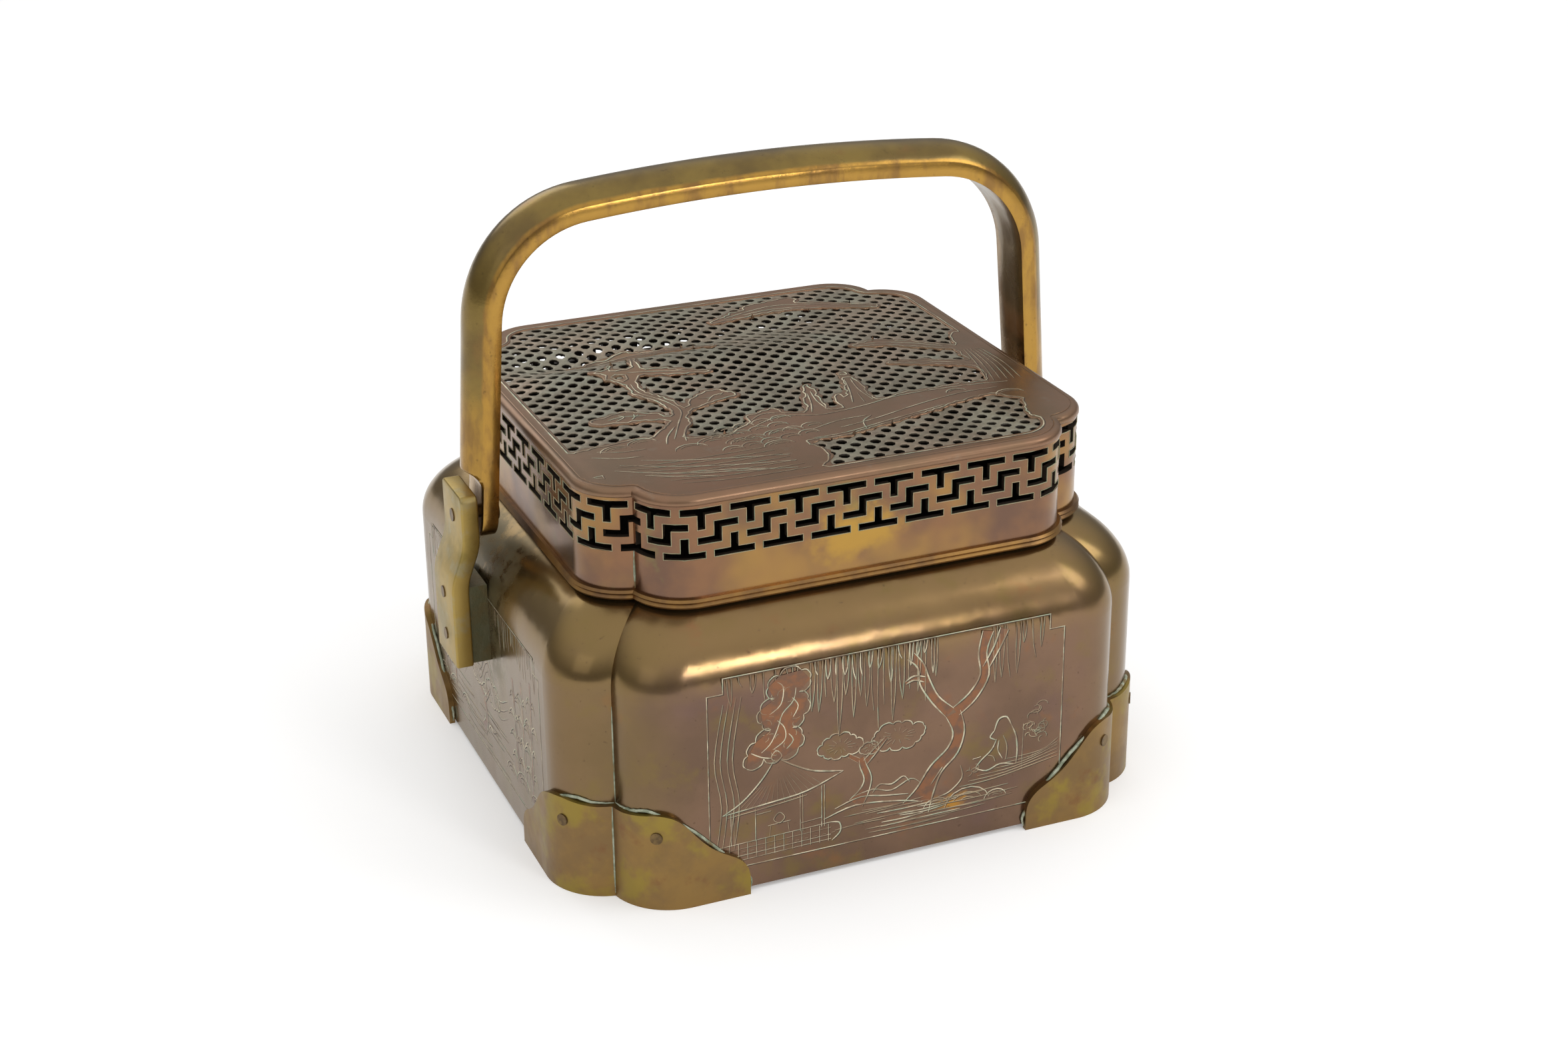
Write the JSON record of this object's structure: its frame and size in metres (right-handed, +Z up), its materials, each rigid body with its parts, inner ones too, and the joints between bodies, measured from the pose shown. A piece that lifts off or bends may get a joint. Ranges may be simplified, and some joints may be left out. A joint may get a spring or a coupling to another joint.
{
  "type": "hand warmer",
  "caption": "Square sheet-metal hand warmer: engraved pot on wrapped corner feet, lift-off lid with fret band and pierced top, and a swinging carrying handle.",
  "frame": {"origin": "middle of the base, on the ground under the feet", "axes": "+X from the left bracket to the right bracket, along the front; +Y to the back; +Z up"},
  "size_m": [0.157, 0.1426, 0.1427],
  "materials": {
    "engraved_copper": "worn brown copper alloy, hand engraved, pale scratches in the lines",
    "fret_copper": "brown copper alloy with sawn edges left pale",
    "mesh_copper": "brown copper alloy with grey green patina in the mesh",
    "rim_brass": "worn brass wire bead with dark patina",
    "copper_strap": "satin brown strap, edges rubbed yellow",
    "foot_brass": "worn yellow brass sheet",
    "bracket_brass": "worn yellow brass bar",
    "rivet_brass": "rubbed flush rivets",
    "filler_solder": "dull grey green solder and patina"
  },
  "bodies": {
    "pot": {"body_shell": "engraved_copper", "base_plate": "engraved_copper", "neck_collar": "engraved_copper", "foot_front_left": "foot_brass", "foot_front_right": "foot_brass", "foot_back_left": "foot_brass", "foot_back_right": "foot_brass", "foot_rivets_front_left": "rivet_brass", "foot_rivets_front_right": "rivet_brass", "foot_rivets_back_left": "rivet_brass", "foot_rivets_back_right": "rivet_brass", "bracket_left": "bracket_brass", "bracket_right": "bracket_brass", "bracket_pad_left": "filler_solder", "bracket_pad_right": "filler_solder", "bracket_rivets_left": "rivet_brass", "bracket_rivets_right": "rivet_brass", "pivot_pin_left": "rivet_brass", "pivot_pin_right": "rivet_brass"},
    "handle": {"bail": "copper_strap"},
    "lid": {"lid_fret_band": "fret_copper", "lid_rim_bead": "rim_brass", "lid_top_plate": "mesh_copper"}
  },
  "joints": [
    {"name": "handle_swing", "type": "hinge", "parent": "pot", "child": "handle", "pos_m": [0, 0, 0.0682], "axis": [1, 0, 0], "range_deg": [-90, 90]},
    {"name": "lid_lift", "type": "slide", "parent": "pot", "child": "lid", "axis": [0, 0, 1], "range_m": [0, 0.028]}
  ]
}
